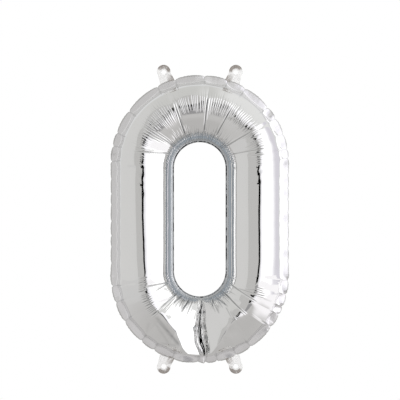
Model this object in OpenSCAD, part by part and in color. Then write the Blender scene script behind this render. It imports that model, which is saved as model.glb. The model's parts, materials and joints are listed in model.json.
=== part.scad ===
// Foil number balloon, the figure zero.
// Two foil panels are heat-sealed to each other round the outer edge and round the
// hole, and the ring they make is split at the bottom, where its two ends meet.
// A flat film valve sits in the bottom seam, and four clear film tabs with a hole
// each are welded into the outer seam for hanging.
// +X is to the right of the figure, the front faces -Y and +Z is up. The origin is
// the middle of the figure, on the plane where the two panels are sealed.

/* [Body] */
// Height of the inflated figure between its outer seam edges
body_h = 356; // [330:1:400]
// Width of the inflated figure between its outer seam edges
body_w = 220; // [210:1:230]
// Height of the hole through the middle
hole_h = 191; // [180:1:195]
// Width of the hole through the middle
hole_w = 64; // [60:1:70]
// Gap between the two ends of the ring at the bottom
end_gap = 1.6; // [1:0.1:3]

/* [Foil and seams] */
// Thickness of each foil panel
foil_t = 0.3; // [0.25:0.05:0.5]
// Width of the flat seam round the outside
outer_seam = 8; // [6:0.5:9]
// Width of the flat seam round the hole, at its sides
inner_seam = 3; // [2:0.5:5]

/* [Valve] */
// Width of the two valve films
valve_w = 18; // [12:1:20]
// Length of the two valve films
valve_l = 54; // [40:1:60]
// Thickness of each valve film
valve_t = 0.15; // [0.1:0.05:0.2]
// How far the valve stands to the left of the middle
valve_x = 19; // [14:1:24]

/* [Hanging tabs] */
// Distance of each tab's hole from the middle, sideways
tab_x = 44.7; // [42:0.1:47]
// Distance of each tab's hole from the middle, up or down
tab_z = 182.1; // [181:0.1:183]
// Diameter of the hole in each tab
tab_hole_d = 6; // [4:0.5:7]
// Thickness of the tab film
tab_t = 0.2; // [0.15:0.05:0.24]
// How far the tab film reaches into the seam
tab_weld = 6.5; // [4:0.5:7]

/* [Hidden] */
$fn = 96;

// Overlap that keeps a cutter's faces off the faces it cuts
eps = 0.5;

// Outer edge: half circles of outer_r about points arc_z above and below the middle
outer_r = body_w / 2;
arc_z = body_h / 2 - outer_r;

// Hole edge: half circles of hole_r about points hole_z above and below the middle
hole_r = hole_w / 2;
hole_z = hole_h / 2 - hole_r;

// The inflated tube: a round section of tube_r whose middle runs tube_mid from the
// arcs' centres, so that it touches the inner edge of both seams
tube_r = (outer_r - outer_seam - hole_r - inner_seam) / 2;
tube_mid = hole_r + inner_seam + tube_r;

// The lower end of the valve lies flush with the outer edge
valve_bottom = -arc_z - sqrt(pow(outer_r, 2) - pow(valve_x, 2));

// Each tab bends along a fold line, square to a spoke that leans tab_lean from the
// vertical about the arc's centre, and fold_gap clear of the outer edge
tab_lean = 21.4;
fold_gap = 0.7;
fold_r = outer_r + fold_gap;
// Film left out on each side of the fold line, so that the leaf can turn
leaf_gap = 0.12;
root_gap = 0.25;
// The leaf's round end stands a little beyond the hole
leaf_end_r = 8.3;
leaf_end_shift = 1;
// The leaf's neck starts inside the round end, and its foot flares towards the top
neck_x = 7.8;
foot_out = [3.6, -16];
foot_in = [13.5, -10];
root_w = 17.6;

// A flat piece drawn in X and Z, thick in Y, with its front face at y = front
module sheet(front, thick) {
    translate([0, front + thick, 0])
        rotate([90, 0, 0])
            linear_extrude(thick)
                children();
}

// An upright round-ended outline: end circles of radius r about points z up and down
module round_ended(r, z) {
    square([2 * r, 2 * z], center = true);
    for (end = [-1, 1])
        translate([0, end * z])
            circle(r);
}

// Half of a disc, on the side that becomes the front, carried past its flat side
module half_disc(r, past) {
    intersection() {
        circle(r);
        translate([-r - eps, -past])
            square([2 * (r + eps), r + eps + past]);
    }
}

// The front half of the closed round tube, of section radius r, as a solid
module front_half_tube(r, past) {
    for (side = [-1, 1])
        translate([side * tube_mid, 0, -arc_z])
            linear_extrude(2 * arc_z)
                mirror([0, 1])
                    half_disc(r, past);
    for (turn = [0, 180])
        rotate([0, turn, 0])
            translate([0, 0, arc_z])
                rotate([90, 0, 0])
                    rotate_extrude(angle = 180)
                        translate([tube_mid, 0])
                            half_disc(r, past);
}

// The split between the ring's two ends, as a slab to cut away
module split(width) {
    translate([-width / 2, -2 * tube_r, -body_h / 2 - eps])
        cube([width, 4 * tube_r, (body_h - hole_h) / 2 + 2 * eps]);
}

// Turns the children, drawn for the top left tab, to each of the four corners
module at_corner(side, end) {
    mirror([side > 0 ? 1 : 0, 0, 0])
        mirror([0, 0, end < 0 ? 1 : 0])
            children();
}

// Outline of the film that is welded between the panels, drawn for the top left tab
module tab_root_outline() {
    translate([0, arc_z])
        rotate(tab_lean)
            translate([-root_w / 2, outer_r - tab_weld])
                square([root_w, tab_weld + fold_gap - root_gap]);
}

// The film that is free to turn, drawn for the top left tab, without its hole
module tab_leaf() {
    intersection() {
        union() {
            sheet(-tab_t / 2, tab_t)
                translate([-tab_x, tab_z + leaf_end_shift])
                    circle(leaf_end_r);
            sheet(-tab_t / 2, tab_t)
                polygon([
                    [-tab_x - neck_x, tab_z + leaf_end_shift],
                    [-tab_x + neck_x, tab_z + leaf_end_shift],
                    [-tab_x + foot_in[0], tab_z + foot_in[1]],
                    [-tab_x - foot_out[0], tab_z + foot_out[1]]
                ]);
        }
        sheet(-tab_t, 2 * tab_t)
            translate([0, arc_z])
                rotate(tab_lean)
                    translate([-2 * leaf_end_r, fold_r + leaf_gap])
                        square(4 * leaf_end_r);
    }
}

// One foil panel, drawn as the front one: half a tube with its seams as flat flanges,
// open at the seam plane, closed by a wall at each end of the ring
module foil_panel() {
    difference() {
        union() {
            front_half_tube(tube_r, 0);
            sheet(-foil_t, foil_t)
                difference() {
                    round_ended(outer_r, arc_z);
                    round_ended(hole_r, hole_z);
                }
        }
        difference() {
            front_half_tube(tube_r - foil_t, eps);
            split(end_gap + 2 * foil_t);
        }
        split(end_gap);
        // Room for half of each tab's film in the seam
        for (side = [-1, 1], end = [-1, 1])
            at_corner(side, end)
                sheet(-tab_t / 2, tab_t / 2 + eps)
                    tab_root_outline();
        // Room for one valve film, where it passes through the bottom seam
        sheet(-valve_t, valve_t + eps)
            valve_outline();
    }
}

module valve_outline() {
    translate([-valve_x - valve_w / 2, valve_bottom])
        square([valve_w, valve_l]);
}

module valve_film(front) {
    sheet(front, valve_t)
        intersection() {
            valve_outline();
            round_ended(outer_r, arc_z);
        }
}

module front_foil_panel() {
    color("silver") foil_panel();
}

module back_foil_panel() {
    color("silver") mirror([0, 1, 0]) foil_panel();
}

module valve_front_film() {
    color("whitesmoke") valve_film(-valve_t);
}

module valve_back_film() {
    color("whitesmoke") valve_film(0);
}

module hang_tab(side, end) {
    color("gainsboro")
        at_corner(side, end)
            difference() {
                tab_leaf();
                translate([-tab_x, tab_t, tab_z])
                    rotate([90, 0, 0])
                        cylinder(d = tab_hole_d, h = 2 * tab_t);
            }
}

module hang_tab_root(side, end) {
    color("gainsboro")
        at_corner(side, end)
            sheet(-tab_t / 2, tab_t)
                tab_root_outline();
}

front_foil_panel();
back_foil_panel();
valve_front_film();
valve_back_film();
hang_tab(-1, 1);  // hang_tab_top_left
hang_tab(1, 1);  // hang_tab_top_right
hang_tab(-1, -1);  // hang_tab_bottom_left
hang_tab(1, -1);  // hang_tab_bottom_right
hang_tab_root(-1, 1);  // hang_tab_root_top_left
hang_tab_root(1, 1);  // hang_tab_root_top_right
hang_tab_root(-1, -1);  // hang_tab_root_bottom_left
hang_tab_root(1, -1);  // hang_tab_root_bottom_right
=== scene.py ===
import bpy
import json
import math
import numpy as np
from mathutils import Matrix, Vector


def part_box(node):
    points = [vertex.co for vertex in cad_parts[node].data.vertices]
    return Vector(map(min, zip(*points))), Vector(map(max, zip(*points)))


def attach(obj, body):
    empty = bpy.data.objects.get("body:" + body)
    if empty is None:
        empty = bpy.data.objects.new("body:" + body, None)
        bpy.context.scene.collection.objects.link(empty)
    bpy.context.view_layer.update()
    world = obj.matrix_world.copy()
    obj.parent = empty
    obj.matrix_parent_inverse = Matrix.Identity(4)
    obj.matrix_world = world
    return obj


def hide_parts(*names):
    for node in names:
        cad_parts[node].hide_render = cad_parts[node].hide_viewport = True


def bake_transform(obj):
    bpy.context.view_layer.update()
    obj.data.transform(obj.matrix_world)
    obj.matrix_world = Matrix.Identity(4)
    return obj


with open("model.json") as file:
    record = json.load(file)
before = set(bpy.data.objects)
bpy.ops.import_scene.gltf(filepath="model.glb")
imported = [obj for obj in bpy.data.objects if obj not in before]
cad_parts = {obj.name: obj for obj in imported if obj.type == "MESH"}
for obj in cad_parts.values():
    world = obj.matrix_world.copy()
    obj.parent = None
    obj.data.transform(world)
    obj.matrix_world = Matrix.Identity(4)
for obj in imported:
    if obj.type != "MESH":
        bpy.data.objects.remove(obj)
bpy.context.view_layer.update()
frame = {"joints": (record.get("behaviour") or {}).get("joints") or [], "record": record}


# Studio
# A white sweep stands behind and under the balloon. The foil is a mirror, so what it shows is
# the room round it: a tall white light on the right, pale and grey panels, and a dark stand.

camera_place = (0.0003, -1.6, 0.0239)
camera_lens = 116.2
upright = (math.pi / 2, 0, 0)
facing_left = (0, math.pi / 2, 0)
white = (1, 1, 1, 1)
black = (0, 0, 0, 1)


def add_camera():
    bpy.ops.object.select_all(action="DESELECT")
    bpy.ops.object.camera_add(location=camera_place, rotation=upright)
    camera = bpy.context.object
    camera.name = "studio_camera"
    camera.data.lens = camera_lens
    camera.data.sensor_width = 36
    camera.data.clip_end = 30
    bpy.context.scene.camera = camera


add_camera()
bpy.context.scene.view_settings.view_transform = "Standard"


class Socket:
    """One output of a shader tree, so that surface maths reads as plain sums."""

    def __init__(self, tree, out=None):
        self.tree = tree
        self.out = out

    def node(self, kind, settings=(), sockets=(), out=0):
        """Adds a node: its settings first, then the values or links of its sockets."""
        made = self.tree.nodes.new(kind)
        for name, value in dict(settings).items():
            setattr(made, name, value)
        for name, value in dict(sockets).items():
            if isinstance(value, Socket):
                self.tree.links.new(value.out, made.inputs[name])
            else:
                made.inputs[name].default_value = value
        return Socket(self.tree, made.outputs[out] if made.outputs else None)

    def axes(self):
        """The X, Y and Z of this vector."""
        split = self.node("ShaderNodeSeparateXYZ", {}, {"Vector": self})
        return [Socket(self.tree, part) for part in split.out.node.outputs]

    def sum_node(self, operation, first, second=0.0):
        return self.node("ShaderNodeMath", {"operation": operation}, {0: first, 1: second})

    def __add__(self, other):
        return self.sum_node("ADD", self, other)

    __radd__ = __add__

    def __sub__(self, other):
        return self.sum_node("SUBTRACT", self, other)

    def __rsub__(self, other):
        return self.sum_node("SUBTRACT", other, self)

    def __mul__(self, other):
        return self.sum_node("MULTIPLY", self, other)

    __rmul__ = __mul__

    def __abs__(self):
        return self.sum_node("ABSOLUTE", self)

    def at_least(self, other):
        return self.sum_node("MAXIMUM", self, other)

    def between(self, low, high):
        """0 below low and 1 above high, or the other way round if low is above high."""
        if low > high:
            return 1 - self.between(high, low)
        return self.node("ShaderNodeMapRange", {"interpolation_type": "SMOOTHSTEP"},
                         {"Value": self, "From Min": low, "From Max": high})


def mixed(factor, low, high):
    """A colour that goes from low to high as the factor goes from 0 to 1."""
    factor_input, low_input, high_input, colour_output = 0, 6, 7, 2
    return factor.node("ShaderNodeMix", {"data_type": "RGBA"},
                       {factor_input: factor, low_input: low, high_input: high},
                       out=colour_output)


def blank_material(name):
    """A material with an empty shader tree, and a socket to start its sums from."""
    material = bpy.data.materials.new(name)
    material.use_nodes = True
    material.node_tree.nodes.clear()
    return material, Socket(material.node_tree)


def light_room():
    """What the foil mirrors far away: light walls, a pinkish floor and a pale wall behind."""
    world = bpy.data.worlds.new("studio_room")
    bpy.context.scene.world = world
    world.use_nodes = True
    world.node_tree.nodes.clear()
    start = Socket(world.node_tree)
    side, depth, height = start.node("ShaderNodeTexCoord").axes()
    room = mixed(height.between(-0.5, 0.8), (0.70, 0.695, 0.685, 1), (0.69, 0.69, 0.67, 1))
    room = mixed(side.between(-0.9, -0.2), (0.74, 0.735, 0.725, 1), room)
    right_up = side.between(-0.02, 0.5) * height.between(0.1, 0.4)
    room = mixed(right_up, room, (0.90, 0.90, 0.89, 1))
    room = mixed(height.between(-0.15, -0.6), room, (0.56, 0.545, 0.545, 1))
    room = mixed(depth.between(0.60, 0.72), room, (0.80, 0.805, 0.81, 1))
    light = start.node("ShaderNodeBackground", {}, {"Color": room, "Strength": 1.0})
    start.node("ShaderNodeOutputWorld", {}, {"Surface": light})


light_room()


def glow(name, colour, strength):
    material, start = blank_material(name)
    light = start.node("ShaderNodeEmission", {}, {"Color": colour, "Strength": strength})
    start.node("ShaderNodeOutputMaterial", {}, {"Surface": light})
    return material


def add_card(name, place, turn, size, colour, strength):
    """A flat panel in the room that only the foil and the films see."""
    bpy.ops.object.select_all(action="DESELECT")
    bpy.ops.mesh.primitive_plane_add(size=1, location=place, rotation=turn)
    card = bpy.context.object
    card.name = name
    card.scale = (size[0], size[1], 1)
    bpy.ops.object.transform_apply(location=True, rotation=True, scale=True)
    card.data.materials.append(glow(name + "_light", colour, strength))
    card.visible_camera = False
    card.visible_shadow = False
    return card


def card_places(card):
    """The X, Y and Z of each point of a card, in its light's shader tree."""
    return Socket(card.active_material.node_tree).node("ShaderNodeTexCoord", out=3).axes()


def colour_card(card, colour):
    """Gives a card's light a colour that changes over it."""
    tree = card.active_material.node_tree
    tree.links.new(colour.out, tree.nodes["Emission"].inputs["Color"])


def add_white_light():
    """A tall light on the right, brighter towards its near end."""
    card = add_card("white_light_right", (1.6, -0.75, 0.35), facing_left, (1.4, 4.1), white, 1.0)
    depth = card_places(card)[1]
    colour_card(card, mixed(depth.between(-0.5, 0.8), (1.6, 1.6, 1.6, 1), (0.80, 0.78, 0.84, 1)))


def add_pale_panel():
    """A pale panel behind the camera on the right, brighter towards the light."""
    card = add_card("pale_panel_right", (0.88, -2.6, 0.5), upright, (1.14, 1.7), white, 1.0)
    side = card_places(card)[0]
    colour_card(card, mixed(side.between(0.30, 0.85), (0.88, 0.87, 0.90, 1),
                            (1.25, 1.24, 1.28, 1)))


add_white_light()
add_pale_panel()
add_card("grey_panel_left", (-0.92, -2.6, 0.6), upright, (1.84, 1.9), (1.0, 0.99, 0.97, 1), 0.60)
add_card("dark_stand", (0.085, -1.62, 0.04), upright, (0.19, 0.46), black, 0.0)
add_card("dark_stand_top", (0.025, -1.62, 0.185), upright, (0.35, 0.17), black, 0.0)
add_card("dark_stand_behind", (-0.06, 1.9, -0.02), upright, (0.14, 0.4), (0.05, 0.05, 0.05, 1),
         1.0)
add_card("pale_panel_behind", (1.1, 2.6, 0.5), upright, (1.5, 1.7), (0.98, 0.98, 1.0, 1), 1.06)
add_card("grey_panel_behind", (-1.0, 2.6, 0.5), upright, (1.6, 1.7), (1.0, 0.99, 0.98, 1), 0.58)


def add_hole_shade_sheet():
    """Painted shade: a dark blue-grey sheet behind the hole, round at its ends and seen only from in
    front, that only reflections see, so the foil round the hole mirrors darkness.
    """
    arc_height = 0.060
    card = add_card("hole_shade_sheet", (0, 0.04, 0), upright, (0.12, 0.24), white, 1.0)
    tree = card.active_material.node_tree
    start = Socket(tree)
    seen_from_behind = start.node("ShaderNodeNewGeometry", out=6)
    clear = start.node("ShaderNodeBsdfTransparent")
    across, _, height = card_places(card)
    past_arc = (abs(height) - arc_height).at_least(0.0)
    away_squared = across * across + past_arc * past_arc
    # Painted shade, lighter in the middle and darker further out
    colour_card(card, mixed(away_squared.between(0.0004, 0.0030), (0.37, 0.41, 0.45, 1),
                            (0.15, 0.17, 0.20, 1)))
    light = Socket(tree, tree.nodes["Emission"].outputs[0])
    unseen = seen_from_behind.at_least(away_squared.between(0.0023, 0.0025))
    both = start.node("ShaderNodeMixShader", {}, {0: unseen, 1: light, 2: clear})
    tree.links.new(both.out, tree.nodes["Material Output"].inputs["Surface"])


add_hole_shade_sheet()


def add_room_floor():
    """The floor that the foil mirrors: grey on the left and bright under the white light."""
    card = add_card("room_floor", (0.2, -0.9, -0.36), (0, 0, 0), (5.0, 4.2), white, 1.0)
    side, depth, _ = card_places(card)
    colour = mixed(side.between(-0.25, -0.9), (0.63, 0.62, 0.61, 1), (0.70, 0.695, 0.69, 1))
    near = depth.between(-0.85, -0.45) * side.between(-0.5, -0.1) * side.between(0.5, 0.1)
    colour = mixed(near, colour, (0.56, 0.55, 0.54, 1))
    colour = mixed(side.between(0.33, 0.50), colour, (1.15, 1.13, 1.15, 1))
    dark_patch = depth.between(-1.0, -1.3) * side.between(-0.15, -0.05) * side.between(0.4, 0.3)
    colour_card(card, mixed(dark_patch, colour, (0.36, 0.355, 0.36, 1)))


add_room_floor()


def add_sweep():
    """The white backdrop and floor, as the inside of a flat-bottomed dome."""
    floor_height = -0.32
    bpy.ops.object.select_all(action="DESELECT")
    bpy.ops.mesh.primitive_uv_sphere_add(segments=48, ring_count=24, radius=6)
    sweep = bpy.context.object
    sweep.name = "studio_sweep"
    bpy.ops.object.mode_set(mode="EDIT")
    bpy.ops.mesh.select_all(action="SELECT")
    bpy.ops.mesh.bisect(plane_co=(0, 0, floor_height), plane_no=(0, 0, 1), clear_inner=True,
                        use_fill=True)
    bpy.ops.mesh.select_all(action="SELECT")
    bpy.ops.mesh.flip_normals()
    bpy.ops.object.mode_set(mode="OBJECT")
    sweep.data.materials.append(glow("studio_sweep_white", white, 1.0))
    sweep.visible_glossy = False
    sweep.visible_diffuse = False
    sweep.visible_shadow = False


add_sweep()


# Silver foil
# Thin film with a bright metal coating, as smooth as a mirror over the tube. The sealed bands
# have a fine pressed texture, and the cut edge is darker. The seam of the hole and the creases
# are darker with painted shade.

def silver_foil():
    """The marks seam, rim, hole and crease say how much of each there is at a point; those of the
    hole and the creases are painted shade.
    """
    material, start = blank_material("silver_foil")
    place = start.node("ShaderNodeTexCoord", out=3)
    seam, rim, crease, hole = [
        start.node("ShaderNodeAttribute", {"attribute_name": mark}, out=2)
        for mark in ("seam", "rim", "crease", "hole")]
    cloud = start.node("ShaderNodeTexNoise", {}, {"Vector": place, "Scale": 22.0, "Detail": 3.0})
    grain = start.node("ShaderNodeTexNoise", {}, {"Vector": place, "Scale": 900.0, "Detail": 2.0})
    colour = mixed(cloud, (0.80, 0.80, 0.80, 1), (0.83, 0.83, 0.825, 1))
    colour = mixed(seam, colour, (0.88, 0.875, 0.89, 1))
    # Painted shade: the recessed seam round the hole is darker and bluer
    colour = mixed(hole, colour, (0.44, 0.465, 0.49, 1))
    # Painted shade along the bottoms of creases, pleats, tucks and crimps
    colour = mixed(crease, colour, (0.16, 0.17, 0.18, 1))
    colour = mixed(rim, colour, (0.45, 0.45, 0.43, 1))
    rough = 0.04 + 0.03 * cloud + 0.07 * seam + 0.2 * rim
    bump = start.node("ShaderNodeBump", {}, {"Height": grain * seam, "Strength": 0.015,
                                             "Distance": 0.0002})
    surface = start.node("ShaderNodeBsdfPrincipled", {}, {
        "Base Color": colour, "Metallic": 1.0, "Roughness": rough, "Normal": bump})
    start.node("ShaderNodeOutputMaterial", {}, {"Surface": surface})
    return material


foil = silver_foil()


# Foil panels
# The front and the back of the balloon, cut alike from flat foil and welded together round
# the outside, round the hole and across the ring at the bottom. Air rounds them into a tube,
# and the inner side of each bend, which is too long, gathers into pleats and creases.

# Sizes in millimetres. Each edge is two half circles, arc_z or hole_z above and below the
# middle, with straight legs between them.
panel_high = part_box("front_foil_panel")[1]
outer_r = round(1000 * panel_high[0], 1)
arc_z = round(1000 * panel_high[2], 1) - outer_r
hole_z = 63.5
hole_r = 32.0
inner_seam = 3.0
outer_seam = 8.0
# The tube, blown up: how far it stands out in front or behind, and how wide it is
tube_depth = 33.3
tube_width = 67

# The grid: columns run round the ring, and rows from the hole to the outside
top_columns = 1080
bottom_columns = 360
leg_columns = 60
seam_rows_in = 2
tube_rows = 44
seam_rows_out = 5


def smooth(value):
    """0 below 0 and 1 above 1, with a soft step between."""
    value = np.clip(value, 0, 1)
    return value * value * (3 - 2 * value)


def ripple(across, along, size, seed):
    """Soft random unevenness between about -1 and 1, with hollows of the given size."""
    waves = 9
    chance = np.random.RandomState(seed)
    total = np.zeros_like(across)
    for _ in range(waves):
        turn = chance.uniform(0, math.pi)
        wave = size * chance.uniform(0.7, 1.6)
        total += np.sin((across * math.cos(turn) + along * math.sin(turn)) * 2 * math.pi / wave
                        + chance.uniform(0, 2 * math.pi))
    return total / (waves / 2)


def ring_edges():
    """The foil's two edges at each column, from the split round to the split again.

    Also each column's turn about the centre of its bend, and its end: 1 on the top bend, -1
    on the bottom one, and between them on a leg."""
    quarter = np.radians(np.linspace(0, 90, bottom_columns + 1))
    leg = np.linspace(-1, 1, leg_columns + 1)[1:-1]
    half = np.radians(np.linspace(90, -90, top_columns + 1))
    turn = np.concatenate((quarter, leg * 0 + math.pi / 2, half, leg * 0 - math.pi / 2,
                           -quarter[::-1]))
    end = np.concatenate((quarter * 0 - 1, leg, half * 0 + 1, leg[::-1], quarter * 0 - 1))
    on_bend = np.sign(end) * (np.abs(end) == 1)
    inner, outer = [np.stack((radius * np.sin(turn), end * centre + on_bend * radius * np.cos(turn)))
                    for radius, centre in ((hole_r, hole_z), (outer_r, arc_z))]
    return inner, outer, turn, end


edge_in, edge_out, ring_turn, ring_end = ring_edges()
round_the_edge = np.concatenate(([0], np.cumsum(np.hypot(*np.diff(edge_out, axis=1)))))
width = np.hypot(*(edge_out - edge_in))
way_out = (edge_out - edge_in) / width
columns = len(width)

# Where the outer seam is tucked: degrees round each bend, and heights on each leg
bend_tucks_bottom_right = (4.5, 11.2, 24, 35.1, 53.6, 63, 68.5, 76.8, 86)
leg_tucks_right = (-52, -36, -24, -6, 9, 26, 38, 54)
bend_tucks_top = (86, 80, 70, 58.6, 50, 31, 18.5, 3, -16, -28.5, -53, -69, -78, -88)
leg_tucks_left = (50, 31, 18, -2, -20, -33, -55)
bend_tucks_bottom_left = (-82.2, -71.2, -57.8, -41.2, -31.3, -17.9, -5.6)


def tuck_places():
    """Distance of each tuck round the outer edge."""
    never = 1000
    places = []
    for turns, end in ((bend_tucks_bottom_right, -1), (bend_tucks_top, 1),
                       (bend_tucks_bottom_left, -1)):
        for turn in turns:
            gap = np.abs(np.degrees(ring_turn) - turn) + never * (ring_end != end)
            places.append(round_the_edge[np.argmin(gap)])
    for heights, side in ((leg_tucks_right, 1), (leg_tucks_left, -1)):
        for height in heights:
            gap = np.abs(edge_out[1] - height) + never * (np.sign(edge_out[0]) != side)
            places.append(round_the_edge[np.argmin(gap)])
    return np.array(sorted(places))


tucks = tuck_places()


def between_tucks():
    """For each column: the tuck behind it, how far on to the next, and the nearest one."""
    before = 6.0
    stops = np.concatenate(([-before], tucks, [round_the_edge[-1] + before]))
    index = np.clip(np.searchsorted(stops, round_the_edge) - 1, 0, len(stops) - 2)
    on = (round_the_edge - stops[index]) / (stops[index + 1] - stops[index])
    near = np.minimum(round_the_edge - stops[index], stops[index + 1] - round_the_edge)
    return index, on, near


# The seam between two tucks: it bulges out and in, tilts, and is less lively on the legs
tuck_behind, tuck_part, tuck_near = between_tucks()
tilt_chance = np.random.RandomState(5)
tilt = tilt_chance.uniform(-1.4, 1.4, len(tucks) + 2)[tuck_behind]
tilt_next = np.roll(tilt_chance.uniform(-1.4, 1.4, len(tucks) + 2), 1)[tuck_behind]
swell = np.where(np.abs(ring_end) == 1, 1.0, 0.45)
notch = np.exp(-tuck_near / 1.3)
bulge = 1 - (2 * tuck_part - 1) ** 2
jag = 0.22 * ripple(round_the_edge, round_the_edge * 0, 3.2, 11)
scallop = swell * (3.6 * bulge - 2.4)

# Where flat facets meet on each bend, in degrees
facet_turns_top = (-96, -73, -56, -25, 7, 30, 57, 76, 96)
facet_turns_bottom = (-96, -78, -50, -22, 22, 52, 71, 96)


def facets(turns):
    """Each facet's half angle and middle, from the turns where facets meet."""
    return [((last - first) / 2, (first + last) / 2) for first, last in zip(turns[:-1], turns[1:])]


def tube_peak():
    """Where the tube stands furthest out at each column, as a part of the foil's width."""
    turn = np.degrees(ring_turn)
    middle = 0.575
    peak = np.where(ring_end == 1, middle + 0.075 * smooth((edge_out[1] - 70) / 55), middle)
    left_leg = (np.abs(ring_end) < 1) & (edge_out[0] < 0)
    peak = np.where(left_leg, np.interp(edge_out[1], (-68, 0, 68), (0.51, 0.55, middle)), peak)
    # On the bottom bend it moves out to the seam on both sides of the split
    bottom_peak = np.interp(
        turn, (-90, -66, -48, -41, -23, -15.6, -9.6, 0, 8, 14, 20, 28, 37, 53, 90),
        (0.51, 0.56, 0.50, 0.47, 0.56, 0.76, 0.92, 0.93, 0.89, 0.79, 0.66, 0.56, 0.50, 0.555,
         middle))
    peak = np.where(ring_end == -1, bottom_peak, peak)
    # It moves out over the middle of each facet, whose flatness would draw it in
    for half, centre in facets(facet_turns_top):
        place = (turn - centre) / half
        flatter = 1.98 * (1 - math.cos(math.radians(half))) * (1 - place ** 2)
        peak = peak + np.where((ring_end == 1) & (np.abs(place) < 1), flatter, 0)
    return peak


def foil_rows():
    """For each row: how far out it is, its depth, its part of the width, and its two marks."""
    peak = tube_peak()
    turn = np.degrees(ring_turn)
    flat = (ring_end == -1) * smooth((turn + 78) / 24) * smooth((4 - turn) / 6)
    for row in range(seam_rows_in):
        yield inner_seam * row / seam_rows_in, 0, 0, 0.3, 0.35 if row == 0 else 0
    for row in range(tube_rows + 1):
        angle = math.pi * row / tube_rows
        near_hole = row <= tube_rows / 2
        part = peak * (1 - math.cos(angle)) if near_hole else peak - (1 - peak) * math.cos(angle)
        reach = inner_seam + (width - inner_seam - outer_seam) * part
        reach = reach - scallop * max(0.0, (row / tube_rows - 0.72) / 0.28) ** 2
        if near_hole:
            # Left of the split this side lies flatter, on a slanting plane
            round_depth = math.sin(angle)
            on_side = 1 - math.cos(angle)
            plane_depth = (0.74 + 0.26 * on_side) * (1 - (1 - on_side) ** 4.5) ** 0.5
            depth = round_depth + (plane_depth - round_depth) * flat
        else:
            # The outer side leaves the seam at a slope
            rounded = 0.93
            level = math.sqrt(1 - (rounded * math.cos(angle)) ** 2)
            at_seam = math.sqrt(1 - rounded ** 2)
            depth = (level - at_seam) / (1 - at_seam)
        yield reach, depth, part, 1 if row in (0, tube_rows) else 0, 0
    for row in range(1, seam_rows_out + 1):
        part = row / seam_rows_out
        out_by = swell * (0.9 * bulge - 1.4 * notch) + jag
        reach = width - (outer_seam + scallop) * (1 - part) + out_by * part
        yield reach, 0, 1, 1, 1 if row == seam_rows_out else 0


def polar(radius, turn, end):
    """A point on a bend, from the distance and the turn about its centre."""
    turn = math.radians(turn)
    return radius * math.sin(turn), end * (arc_z + radius * math.cos(turn))


# Creases that run in from the middle of the tube to the hole:
# bend, outer distance and turn, inner distance and turn, depth, width
creases = (
    (1, 87, -22.6, 37, -26.8, 1.3, 1.0), (1, 84, -20.6, 50, -23.5, 0.5, 0.8),
    (1, 88, 6.7, 35, 7.9, 1.2, 1.0), (1, 86, 9.3, 55, 9.6, 0.5, 0.8),
    (1, 82, 29.3, 38, 30.4, 1.0, 0.9), (1, 84, 58.3, 34, 55.8, 1.2, 0.7),
    (1, 86, -57.1, 37, -55.0, 1.2, 0.8), (1, 84, -54.5, 44, -53.0, 0.8, 0.7),
    (1, 82, -60.0, 50, -58.5, 0.8, 0.7), (1, 80, -62.5, 56, -61.5, 0.5, 0.6),
    (1, 84, -79.5, 37, -70.5, 1.3, 0.8), (1, 80, -76.5, 56, -73.0, 0.6, 0.6),
    (1, 82.6, 77, 36, 72.5, 0.9, 0.7), (1, 84, 81.5, 62, 81.5, 0.6, 0.6),
    (-1, 66, -51, 35, -50.5, 1.3, 0.8), (-1, 62, -47.5, 40, -48, 0.8, 0.6),
    (-1, 60, -44, 46, -45, 0.5, 0.6), (-1, 48, -33, 31, -33, 0.5, 0.6),
    (-1, 69, -78.5, 36, -77, 0.9, 0.7), (-1, 58, -71, 35, -78, 0.9, 0.7),
    (-1, 73, -50.5, 90, -15, 0.9, 3.0), (-1, 78, -47, 92, -24, 0.25, 2.6),
    (-1, 48, -44, 33, -40, 1.6, 0.9), (-1, 51, -27, 33, -24, 1.6, 0.9),
    (-1, 44, 20, 33, 30, 1.3, 0.8), (-1, 53, 43, 34, 36, 1.5, 0.9),
    (-1, 99, -42, 84, -47, 0.15, 2.6), (-1, 98, -31.5, 90, -18, 0.3, 2.6),
    (-1, 66, 37, 50, 40, 0.8, 0.7), (-1, 70, 40, 58, 43, 0.4, 0.6),
    (-1, 73, 50, 36, 54, 1.2, 0.8), (-1, 76, 65, 36, 75, 1.1, 0.8),
    (-1, 78, 72, 48, 71, 0.7, 0.7), (-1, 77, 77, 60, 74, 0.6, 0.7),
    (-1, 52, 62, 33, 60, 0.6, 0.6),
)
# More than the pleats round a bend, whatever their pitch
most_pleats = 400
# Short pleats where each bend meets its leg: sideways place, lowest and highest, slope, depth
leg_pleats = ((73, 46, 92, 0.03, 0.34), (-71, 30, 84, 0.05, 0.16),
              (-70, -88, -68, 0.25, 0.5), (75, -94, -78, -0.2, 0.5))
# Small facets over the valve and beside the split: sideways place, height, half width and
# half height, depth
valve_facets = ((-23.5, -161.5, 6.5, 7.5, 1.0), (-34, -163, 5, 5, 0.6),
                (13, -166, 7, 5, 0.7), (-40, -150, 7, 6, 0.5))
# Crimps across the weld at the split: from a point to a point
crimps = (((-11, -134.5), (0, -130.5)), ((0, -130.5), (7, -132.5)), ((-9, -153.5), (1, -151.0)),
          ((3, -144.0), (11, -146.0)), ((4, -157.5), (12, -159.5)), ((-1, -113.0), (7, -115.0)))

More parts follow.
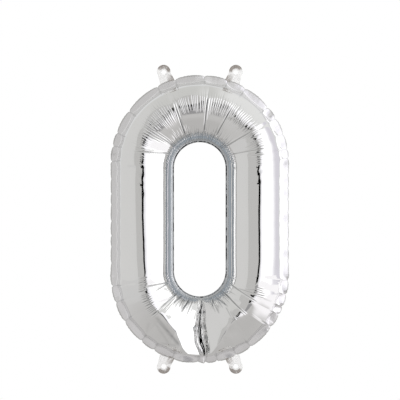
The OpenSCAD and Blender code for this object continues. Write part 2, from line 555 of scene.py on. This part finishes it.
# The weld at the split wanders sideways. Each line starts with a place on the straight strip,
# and gives where that place comes to at each of these heights.
wander_heights = (-176, -173, -170, -165, -160.6, -157, -155, -152.7, -149.7, -143, -138, -135.9,
                  -133.7, -131.5, -128.6, -120.6, -115, -113, -110, -106, -104)
wander_places = (
    (-20, (-20,) * 21),
    (-7, (4, 4, 2.6, 0.3, -1.2, -2.6, -4, -7.2, -5.8, -6.3, -6.6, -7, -9, -6.5, -5.2, -4.5,
          -3.6, -3.3, -3.3, -3.3, -2.5)),
    (0, (4.6, 5.0, 5.2, 5.5, 4.9, 3.4, 2.5, 1.4, 0.6, 0, -0.4, -0.6, -0.8, -1.0, -1.2, -0.8,
         -0.4, -0.2, 0.9, 2, 2.6)),
    (3, (4.9, 5.8, 6.4, 7.0, 7.4, 7.3, 6.8, 6.2, 5.6, 4.4, 4.3, 4.3, 4.3, 4.2, 3, 2.9, 2.8,
         2.8, 3, 3.5, 3.6)),
    (7, (5.6, 6.6, 7.4, 8.6, 9.8, 10.6, 10.4, 10.0, 9.7, 9.0, 8.6, 8.4, 8.3, 7.4, 7.0, 7.2,
         7.3, 7.2, 7.0, 6.4, 5.4)),
    (20, (20,) * 21),
)


class FoilSheet:
    """One panel as a grid of points in millimetres. Its side is -1 in front and 1 behind."""

    def __init__(self, side, seed):
        self.side = side
        self.seed = seed
        self.chance = np.random.RandomState(seed)
        self.lay_out()
        self.close_at_split()
        self.measure()
        self.height = np.zeros_like(self.x)
        # How much painted shade darkens each point along creases, pleats, tucks and crimps
        self.crease = np.zeros_like(self.x)
        self.flatten_facets()
        self.comb_bends()
        self.gather_at_hole()
        self.press_creases()
        self.pleat_legs()
        self.raise_small_facets()
        self.run_tucks_inwards()
        self.roughen()
        self.crimp_weld()
        self.push_out()
        self.tilt_seams()
        self.wander_at_split()

    def lay_out(self):
        """The rows, flat and straight, with the depth that inflation gives them."""
        table = [[np.broadcast_to(value, columns) for value in row] for row in foil_rows()]
        reach, self.full, self.across, self.seam, self.rim = np.array(table).transpose(1, 0, 2)
        self.x = edge_in[0] + way_out[0] * reach
        self.z = edge_in[1] + way_out[1] * reach
        self.row = np.arange(len(reach))[:, None]
        self.in_tube = smooth(self.full / 0.25)

    def close_at_split(self):
        """Each lobe rounds off by the split, then drops to a strip with a groove in it.

        The strip is where the two panels are welded across the ring and the ring is cut."""
        near = self.z < -70
        far_off = 1000.0
        strip_half = 7
        self.off_split = np.where(near, np.abs(self.x), far_off)
        reach = np.interp(self.z, (-178, -165, -150, -136, -129, -121, -116, -100, -92, -84),
                          (19, 20, 23, 29, 34, 41, 47, 52, 36, 20))
        left = 1 - np.clip((self.off_split - strip_half) / np.maximum(reach - strip_half, 5),
                           0, 1)
        drop = 0.24 + 0.14 * np.clip((reach - 20) / 30, 0, 1)
        lobe = self.side * tube_depth * self.full * (1 - drop * (0.5 * left + 0.5 * left ** 2))
        folds = np.interp(np.where(near, self.x, far_off),
                          (-6.0, -4.0, -1.3, -0.5, 0, 0.5, 1.2, 2.6, 3.0, 6.0),
                          (1.0, 1.05, 1.1, 0.5, 0.1, 0.5, 1.05, 1.32, 1.35, 1.0))
        strip = -0.34 * tube_depth * self.full * folds
        # The front lobes drop steeply to the strip, and the back ones in a soft slope
        foot, slope = (5.9, 1.1) if self.side < 0 else (3.4, 3.6)
        self.y = strip + (lobe - strip) * smooth((self.off_split - foot) / slope)

    def measure(self):
        """Which way is out of the balloon, and each point's place on its bend."""
        place = np.stack((self.x, self.y, self.z))
        normal = np.cross(np.gradient(place, axis=2), np.gradient(place, axis=1), axis=0)
        normal /= np.maximum(np.linalg.norm(normal, axis=0), 1e-9)
        self.outward = normal * np.where(normal[1] * self.side < 0, -1, 1)
        past_leg = np.maximum(np.abs(self.z) - arc_z, 0)
        self.end = np.where(self.z > 0, 1, -1)
        self.radius = np.hypot(self.x, past_leg)
        self.turn = np.degrees(np.arctan2(self.x, np.maximum(past_leg, 1e-6)))

    def fold(self, start, stop, depth, wide, start_fade=0.3, stop_fade=0.12):
        """Height of one sharp valley from start to stop, with a soft shoulder on each side."""
        way = (stop[0] - start[0], stop[1] - start[1])
        length = math.hypot(*way)
        on = ((self.x - start[0]) * way[0] + (self.z - start[1]) * way[1]) / length ** 2
        off = np.abs((self.x - start[0]) * way[1] - (self.z - start[1]) * way[0]) / length
        fade = smooth(on / start_fade) * smooth((1 - on) / stop_fade)
        valley = np.exp(-off / wide)
        shoulder = 0.35 * np.exp(-((off - 2.4 * wide) / (1.1 * wide)) ** 2)
        return depth * fade * (shoulder - valley)

    def flatten_facets(self):
        """Flat facets between the creases, on the hole's side of the tube."""
        inside = np.sin(math.pi * np.clip(self.across / 0.66, 0, 1))
        outside = smooth((self.across - 0.6) / 0.15) * smooth((0.985 - self.across) / 0.12)
        for turns, which in ((facet_turns_top, 1), (facet_turns_bottom, -1)):
            for half, centre in facets(turns):
                place = (self.turn - centre) / half
                here = (np.abs(place) < 1) & (self.end == which)
                lift = self.radius * (1 - math.cos(math.radians(half))) * (1 - place ** 2)
                if which < 0:
                    lift = lift * smooth((np.abs(self.turn) - 22) / 12)
                lift = lift * smooth((np.abs(self.z) - 46) / 22)
                self.height += np.where(here, 0.8 * lift * inside, 0)
                on_right_side = centre - half > 20 and centre + half > 50
                if on_right_side:
                    self.height -= np.where(here, 0.75 * lift * outside, 0)

    def spokes(self, pitch, wander, sharp):
        """Which radial pleat each point is nearest to, and the height of a row of them."""
        start_turn = -200
        comb = (self.turn - start_turn) / pitch + wander
        aside = np.abs(comb - np.round(comb)) * math.radians(pitch) * self.radius
        return np.round(comb).astype(int), -np.exp(-(aside / sharp) ** 2)

    def on_turns(self, start, stop, start_soft=3, stop_soft=3):
        """1 between two turns on a bend, with a soft end at each."""
        return smooth((self.turn - start) / start_soft) * smooth((stop - self.turn) / stop_soft)

    def comb_bends(self):
        """The comb of small pleats along the top of the bends."""
        wander = 0.5 * ripple(self.turn, self.turn * 0, 9.0, self.seed + 1)
        pleat, ridge = self.spokes(2.05, wander, 0.42)
        tall = self.chance.uniform(0.5, 1.2, most_pleats)[pleat]
        reach = self.chance.uniform(7.0, 12.0, most_pleats)[pleat]
        shift = self.chance.uniform(-2.0, 2.0, most_pleats)[pleat]
        strength = (1.35 * self.on_turns(-58, -26) + 0.6 * self.on_turns(-24, 7)
                    + 1.0 * self.on_turns(5, 57) + 1.0 * self.on_turns(58, 80, 2)
                    + 0.3 * self.on_turns(-80, -60))
        ends = np.exp(-(np.abs(self.radius - 75 - shift) / reach) ** 3)
        pleats = np.where(self.z > arc_z, tall * strength * ridge * ends, 0)
        self.height += 0.42 * pleats
        # Painted shade along the pleats of the comb
        self.crease += -0.4 * pleats
        strength = self.on_turns(-73, -47)
        ends = np.exp(-(np.abs(self.radius - 71.5 + 0.5 * shift) / 4.2) ** 4)
        pleats = np.where(self.z < -arc_z, tall * strength * ridge * ends, 0)
        self.height += 0.65 * pleats
        # Painted shade along the pleats of the bottom comb
        self.crease += -0.9 * pleats

    def gather_at_hole(self):
        """Short gathers that run out from the seam of the hole, but not over the split."""
        wander = 0.6 * ripple(self.turn, self.turn * 0, 12.0, self.seed + 11)
        pleat, ridge = self.spokes(3.3, wander, 0.45)
        tall = self.chance.uniform(0.2, 1.3, most_pleats)[pleat]
        reach = self.chance.uniform(44, 54, most_pleats)[pleat]
        strength = smooth((62 - np.abs(self.turn)) / 6)
        strength *= np.where(self.end > 0, 1, smooth((np.abs(self.turn) - 12) / 8))
        gathers = tall * strength * ridge * smooth((reach - self.radius) / 7)
        gathers = np.where(np.abs(self.z) > arc_z, gathers, 0) * self.in_tube
        self.height += 0.42 * gathers
        # Painted shade along the gathers
        self.crease += -0.35 * gathers

    def press_creases(self):
        """The long creases, with painted shade along their bottoms."""
        for which, r_out, turn_out, r_in, turn_in, deep, wide in creases:
            line = self.fold(polar(r_out, turn_out, which), polar(r_in, turn_in, which),
                             0.8 * deep, 0.62 * wide) * self.in_tube
            self.height += line
            self.crease += np.clip(-line * 0.75, 0, 1)

    def pleat_legs(self):
        """Rows of short level pleats, and a fine unevenness down the middle of each leg."""
        pitch = 2.7
        for x_at, lowest, highest, slope, deep in leg_pleats:
            for number in range(int((highest - lowest) / pitch)):
                z_here = lowest + pitch * number + self.chance.uniform(-0.5, 0.5)
                half = self.chance.uniform(2.4, 4.6)
                x_here = x_at + self.chance.uniform(-0.8, 0.8)
                line = self.fold((x_here - half, z_here), (x_here + half, z_here + 2 * half * slope),
                                 deep * self.chance.uniform(0.4, 1.2), 0.55, 0.3, 0.3)
                self.height += line
                # Painted shade along the leg pleats
                self.crease += np.clip(-line * 1.2, 0, 1)
        on_leg = np.exp(-((np.abs(self.x) - 72) / 5) ** 2) * smooth((84 - np.abs(self.z)) / 10)
        self.height += 0.014 * on_leg * ripple(self.x * 0.3, self.z, 3.4, self.seed + 8)

    def raise_small_facets(self):
        """Small facets with flat tops, where the valve passes under the foil and by the split."""
        for x_at, z_at, wide, tall, deep in valve_facets:
            off = np.abs(self.x - x_at) / wide + np.abs(self.z - z_at) / tall
            self.height += deep * np.clip(1 - off, 0, 0.6) * (1 - self.seam)

    def run_tucks_inwards(self):
        """Each tuck in the outer seam runs a little way in, and the tube swells between."""
        for place in tucks:
            column = np.argmin(np.abs(round_the_edge - place))
            start = edge_out[:, column]
            inward = -way_out[:, column]
            stop = start + inward * (12 + 7 * self.chance.uniform(0, 1))
            lean = self.chance.uniform(-2.5, 2.5)
            stop = (stop[0] + lean * inward[1], stop[1] - lean * inward[0])
            line = swell[column] * self.fold(start, stop, 0.5, 0.8, 0.05, 0.6)
            self.height += line * (1 - self.seam)
            # Painted shade along each tuck, on the bends only
            self.crease += np.clip(-line, 0, 1) * (0.5 if swell[column] > 0.9 else 0.0)
        from_seam = (1 - self.across) * tube_width
        self.height += (0.8 * swell * (bulge - 0.6) * np.exp(-from_seam / 9) * (1 - self.seam)
                        * self.in_tube)

    def roughen(self):
        """Wrinkles in the band beside the hole, and a soft unevenness all over the tube."""
        hole_band = smooth((0.14 - self.across) / 0.1) * (self.seam == 0)
        on_bend = (smooth((np.abs(self.z) - 62) / 10)
                   * smooth((np.abs(self.turn) - 4) / 8 + (self.end > 0)))
        pitch = 4.1
        wrinkle = np.cos(2 * math.pi * self.turn / pitch
                         + 2.5 * ripple(self.turn, self.turn * 0, 16.0, self.seed + 9))
        tall = self.chance.uniform(0.1, 1.0, 90)[((self.turn + 180) / pitch).astype(int)]
        self.height += 0.75 * on_bend * hole_band * wrinkle * tall
        self.height += 0.10 * hole_band * ripple(self.x, self.z, 3.4, self.seed + 3)
        broad = 0.11 - 0.04 * (self.z < -70)
        self.height += self.in_tube * broad * ripple(self.x, self.z, 34.0, self.seed + 5)
        self.height += self.in_tube * 0.02 * ripple(self.x, self.z, 9.0, self.seed + 6)

    def crimp_weld(self):
        """Crimps that cut across the weld at the split."""
        for start, stop in crimps:
            line = self.fold(start, stop, 1.3, 0.6, 0.3, 0.3) * (1 - self.seam)
            self.height += line
            # Painted shade along the crimps
            self.crease += np.clip(-line * 0.6, 0, 1)

    def push_out(self):
        """Moves each point out by its height, and crinkles the weld, alike in both panels."""
        weld = smooth((7.5 - self.off_split) / 2) * smooth(self.full / 0.4)
        crinkle = weld * (0.45 * ripple(self.x * 1.6, self.z, 7.0, 21)
                          + 0.35 * ripple(self.x * 0, self.z, 4.0, 22))
        self.x = self.x + self.height * self.outward[0]
        self.y = self.y + self.height * self.outward[1] + crinkle
        self.z = self.z + self.height * self.outward[2]

    def tilt_seams(self):
        """The outer seam tilts to and fro from tuck to tuck, and the panels touch in it."""
        out_part = np.clip((self.row - seam_rows_in - tube_rows) / seam_rows_out, 0, 1)
        sway = 0.5 * tilt * bulge + 0.2 * tilt_next * np.sin(2 * math.pi * tuck_part)
        sway = sway * out_part ** 1.5 * swell + 0.05 * ripple(self.x, self.z, 9.0, 31) * out_part
        crumple = smooth((10 - np.abs(self.x + 1)) / 4) * (self.z < -160)
        crumple = crumple * ripple(self.x, self.z, 4.5, 33)
        sway = sway + (0.7 + 0.35 * crumple) * out_part
        at_hole = self.seam * (self.row <= seam_rows_in)
        half_apart = 0.05
        self.y = (self.y + sway + 0.25 * ripple(self.x, self.z, 5.0, 32) * at_hole
                  + self.side * half_apart * (1 - self.rim))

    def wander_at_split(self):
        """The weld wanders from side to side, and the two cut edges stand a hair apart."""
        moved = self.x
        for (x_from, at_from), (x_to, at_to) in zip(wander_places[:-1], wander_places[1:]):
            here = (self.z < -96) & (self.x >= x_from) & (self.x <= x_to)
            part = (self.x - x_from) / (x_to - x_from)
            place = ((1 - part) * np.interp(self.z, wander_heights, at_from)
                     + part * np.interp(self.z, wander_heights, at_to))
            moved = np.where(here, place, moved)
        self.x = self.x + (moved - self.x) * smooth((-96 - self.z) / 6)
        right_then_left = np.where(np.arange(columns) < columns / 2, 1, -1)
        self.x = self.x + 0.1 * right_then_left * (self.off_split < 5)

    def points(self):
        return np.stack((self.x, self.y, self.z), axis=-1)

    def marks(self):
        # Painted shade over the seam of the hole, darkest at its cut edge
        at_hole = (self.row <= seam_rows_in) * (1 - 0.15 * self.row) * np.ones(columns)
        return {"seam": self.seam, "rim": self.rim, "hole": at_hole,
                "crease": np.clip(self.crease, 0, 1)}


def formed_grid(name, points, marks=()):
    """A grid whose vertices are set to the given rows of points, in millimetres."""
    row_count, column_count = points.shape[:2]
    bpy.ops.object.select_all(action="DESELECT")
    bpy.ops.mesh.primitive_grid_add(x_subdivisions=column_count - 1,
                                    y_subdivisions=row_count - 1, size=1)
    piece = bpy.context.object
    piece.name = name
    mesh = piece.data
    mesh.vertices.foreach_set("co", (points.reshape(-1, 3) / 1000).astype(np.float32).ravel())
    for label, values in dict(marks).items():
        attribute = mesh.attributes.new(label, "FLOAT", "POINT")
        attribute.data.foreach_set("value", values.astype(np.float32).ravel())
    mesh.update()
    return piece


def face_out(piece, side):
    """Turns all faces over if those in the middle of the piece face into the balloon."""
    middle = piece.data.polygons[len(piece.data.polygons) // 2]
    if middle.normal.y * side < 0:
        bpy.ops.object.mode_set(mode="EDIT")
        bpy.ops.mesh.select_all(action="SELECT")
        bpy.ops.mesh.flip_normals()
        bpy.ops.object.mode_set(mode="OBJECT")


def add_foil_panel(name, side, seed):
    """A grid of points is laid out, then bent round the ring and inflated."""
    sheet = FoilSheet(side, seed)
    panel = formed_grid(name, sheet.points(), sheet.marks())
    face_out(panel, side)
    bpy.ops.object.shade_smooth()
    panel.data.materials.append(foil)
    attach(panel, "envelope")
    return panel, sheet.points()


front_panel, front_points = add_foil_panel("front_foil", -1, 40)
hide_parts("front_foil_panel")
back_panel, back_points = add_foil_panel("back_foil", 1, 90)
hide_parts("back_foil_panel")


def between_panels(x, z):
    """Depth of the middle of the outer seam near each of some points."""
    neighbours = 5
    first = seam_rows_in + tube_rows
    seam_x = front_points[first:, :, 0].ravel()
    seam_z = front_points[first:, :, 2].ravel()
    middle = (front_points[first:, :, 1] + back_points[first:, :, 1]).ravel() / 2
    found = np.zeros(len(x))
    for number, (point_x, point_z) in enumerate(zip(x, z)):
        far = (seam_x - point_x) ** 2 + (seam_z - point_z) ** 2
        close = np.argpartition(far, neighbours)[:neighbours]
        weight = 1 / (far[close] + 0.01)
        found[number] = np.sum(middle[close] * weight) / np.sum(weight)
    return found


# Valve
# Two clear strips of film, sealed to each other along their sides, make the flat valve. It
# leaves the tube through the bottom seam, where a straw or a nozzle is pushed in.

def valve_film_material():
    material, start = blank_material("valve_film")
    place = start.node("ShaderNodeTexCoord", out=3)
    cloud = start.node("ShaderNodeTexNoise", {}, {"Vector": place, "Scale": 160.0, "Detail": 2.0})
    colour = mixed(cloud, (0.90, 0.90, 0.90, 1), (0.72, 0.72, 0.73, 1))
    surface = start.node("ShaderNodeBsdfPrincipled", {}, {
        "Base Color": colour, "Roughness": 0.22 + 0.1 * cloud, "IOR": 1.5,
        "Alpha": 0.42 + 0.1 * cloud})
    start.node("ShaderNodeOutputMaterial", {}, {"Surface": surface})
    return material


valve_plastic = valve_film_material()
valve_low, valve_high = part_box("valve_front_film")
valve_left = round(1000 * valve_low[0], 1)
valve_right = round(1000 * valve_high[0], 1)
valve_top = 1000 * valve_high[2]
# How far the visible film stays inside that box at its sides, its top and its mouth
side_margin = 0.2
top_margin = 0.3
mouth_margin = 1.2


def add_valve_film(name, side, node):
    """A strip that follows the seam at its mouth and stands inside the tube above it."""
    across, up = np.meshgrid(np.linspace(-0.5, 0.5, 25), np.linspace(0, 1, 73))
    x = (valve_left + valve_right) / 2 + across * (valve_right - valve_left - 2 * side_margin)
    lowest = -arc_z - np.sqrt((outer_r - mouth_margin) ** 2 - x ** 2)
    z = lowest + (valve_top - top_margin - lowest) * up
    from_centre = np.hypot(x, z + arc_z)
    inside = smooth((outer_r - outer_seam - 2 - from_centre) / 12)
    in_seam = np.minimum(z, lowest + 9.5)
    seam_y = between_panels(x.ravel(), in_seam.ravel()).reshape(x.shape)
    puff = np.cos(math.pi * across) ** 2
    y = (1 - inside) * seam_y + side * (0.02 + 0.9 * inside * puff)
    y += 0.5 * inside * ripple(x, z, 16.0, 61)
    film = formed_grid(name, np.stack((x, y, z), -1))
    face_out(film, side)
    bpy.ops.object.shade_smooth()
    film.data.materials.append(valve_plastic)
    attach(film, "envelope")
    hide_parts(node)


add_valve_film("valve_front", -1, "valve_front_film")
add_valve_film("valve_back", 1, "valve_back_film")


# Hanging tabs
# Clear film tabs, each punched with a hole and welded into the outer seam. They are thin and
# creased from handling, and fold where they leave the seam.

def clear_film():
    """The marks edge and shade say where the film looks denser and where it looks darker."""
    material, start = blank_material("clear_tab_film")
    place = start.node("ShaderNodeTexCoord", out=3)
    cloud = start.node("ShaderNodeTexNoise", {}, {"Vector": place, "Scale": 150.0, "Detail": 1.0})
    edge = start.node("ShaderNodeAttribute", {"attribute_name": "edge"}, out=2)
    shade = start.node("ShaderNodeAttribute", {"attribute_name": "shade"}, out=2)
    patch = shade * cloud.between(0.25, 0.45)
    colour = mixed(patch, (0.84, 0.83, 0.82, 1), (0.36, 0.32, 0.29, 1))
    alpha = 0.28 + 0.46 * patch + 0.16 * edge
    surface = start.node("ShaderNodeBsdfPrincipled", {}, {
        "Base Color": colour, "Roughness": 0.16, "IOR": 1.5, "Alpha": alpha})
    start.node("ShaderNodeOutputMaterial", {}, {"Surface": surface})
    return material


tab_film = clear_film()
film_thickness = 0.00008

# The punched hole and the fold line of the top left tab, in millimetres and radians
tab_hole = {mount["name"]: mount for mount in frame["record"]["mounts"]}["hang_hole_top_left"]
tab_fold = {joint["name"]: joint for joint in frame["joints"]}["hang_tab_top_left_fold"]
tab_x = round(-1000 * tab_hole["pos_m"][0], 1)
tab_z = round(1000 * tab_hole["pos_m"][2], 1)
tab_hole_r = tab_hole["dims"]["r_mm"]
fold_r = round(math.hypot(1000 * tab_fold["pos_m"][0], 1000 * tab_fold["pos_m"][2] - arc_z), 1)
tab_lean = math.radians(round(math.degrees(math.atan2(tab_fold["axis"][2],
                                                      tab_fold["axis"][0])), 1))

# The outline, measured from the hole: a round end a little above it, then the corners of the
# neck and of the foot that is sealed in the seam
round_end_r = 8.3
round_end_up = 1.0
tab_corners = [(7.8, round_end_up), (-7.8, round_end_up), (-3.9, -17.5), (14.5, -11.5)]


def tab_outline(angle):
    """Distance from the hole's middle to the tab's edge, for the top left tab."""
    way = (math.cos(angle), math.sin(angle))
    along = way[1] * round_end_up
    reach = along + math.sqrt(along ** 2 - round_end_up ** 2 + round_end_r ** 2)
    for first, last in zip(tab_corners, tab_corners[1:] + tab_corners[:1]):
        side = (last[0] - first[0], last[1] - first[1])
        crossing = way[0] * side[1] - way[1] * side[0]
        if abs(crossing) > 1e-9:
            distance = (first[0] * side[1] - first[1] * side[0]) / crossing
            part = (first[0] * way[1] - first[1] * way[0]) / crossing
            if distance > 0 and -1e-9 <= part <= 1 + 1e-9:
                reach = max(reach, distance)
    return reach


def tab_grid(side, end, seed):
    """Rings of points from the punched hole to the outline, with the marks of the film."""
    round_count = 96
    ring_count = 12
    part = np.linspace(0, 1, ring_count + 1)[:, None]
    angle = 2 * math.pi * (np.arange(round_count + 1) % round_count) / round_count
    far = np.array([tab_outline(turn) for turn in angle])
    reach = tab_hole_r + (far - tab_hole_r) * part
    x = -tab_x + reach * np.cos(angle)
    z = tab_z + reach * np.sin(angle)
    edge = np.maximum(smooth((part - 0.8) / 0.2), smooth((0.12 - part) / 0.12)) + 0 * x
    # The round tip and the inner corner of the foot look darker and browner
    tip = smooth((np.sin(angle + 0.25) - 0.05) / 0.5)
    foot = smooth((np.cos(angle + 0.72) - 0.90) / 0.08)
    shade = np.maximum(tip * smooth((part - 0.1) / 0.35), foot * part)
    past_fold = -x * math.sin(tab_lean) + (z - arc_z) * math.cos(tab_lean) - fold_r
    crinkle = 0.55 * ripple(x + seed, z, 9.0, seed) + 0.25 * ripple(x, z, 4.0, seed + 1)
    held = between_panels(-side * x.ravel(), end * z.ravel()).reshape(x.shape)
    y = smooth(past_fold / 6) * crinkle + (1 - smooth(past_fold / 8)) * held
    return np.stack((-side * x, y, end * z), -1), {"edge": edge, "shade": shade}


def add_tab(name, side, end, seed):
    """The rings are closed into one sheet, which is then given its thickness."""
    points, marks = tab_grid(side, end, seed)
    tab = formed_grid(name, points, marks)
    bpy.ops.object.mode_set(mode="EDIT")
    bpy.ops.mesh.select_all(action="SELECT")
    bpy.ops.mesh.remove_doubles(threshold=0.00001)
    bpy.ops.mesh.normals_make_consistent(inside=False)
    bpy.ops.object.mode_set(mode="OBJECT")
    thick = tab.modifiers.new("film", "SOLIDIFY")
    thick.thickness = film_thickness
    thick.offset = 0
    bpy.ops.object.modifier_apply(modifier="film")
    bpy.ops.object.shade_smooth_by_angle(angle=math.radians(40))
    tab.data.materials.append(tab_film)
    body = "hang_tab_" + ("top" if end > 0 else "bottom") + "_" + ("left" if side < 0 else "right")
    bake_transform(tab)
    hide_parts(body, body.replace("hang_tab_", "hang_tab_root_"))


add_tab("tab_top_left", -1, 1, 3)
add_tab("tab_top_right", 1, 1, 7)
add_tab("tab_bottom_left", -1, -1, 12)
add_tab("tab_bottom_right", 1, -1, 17)
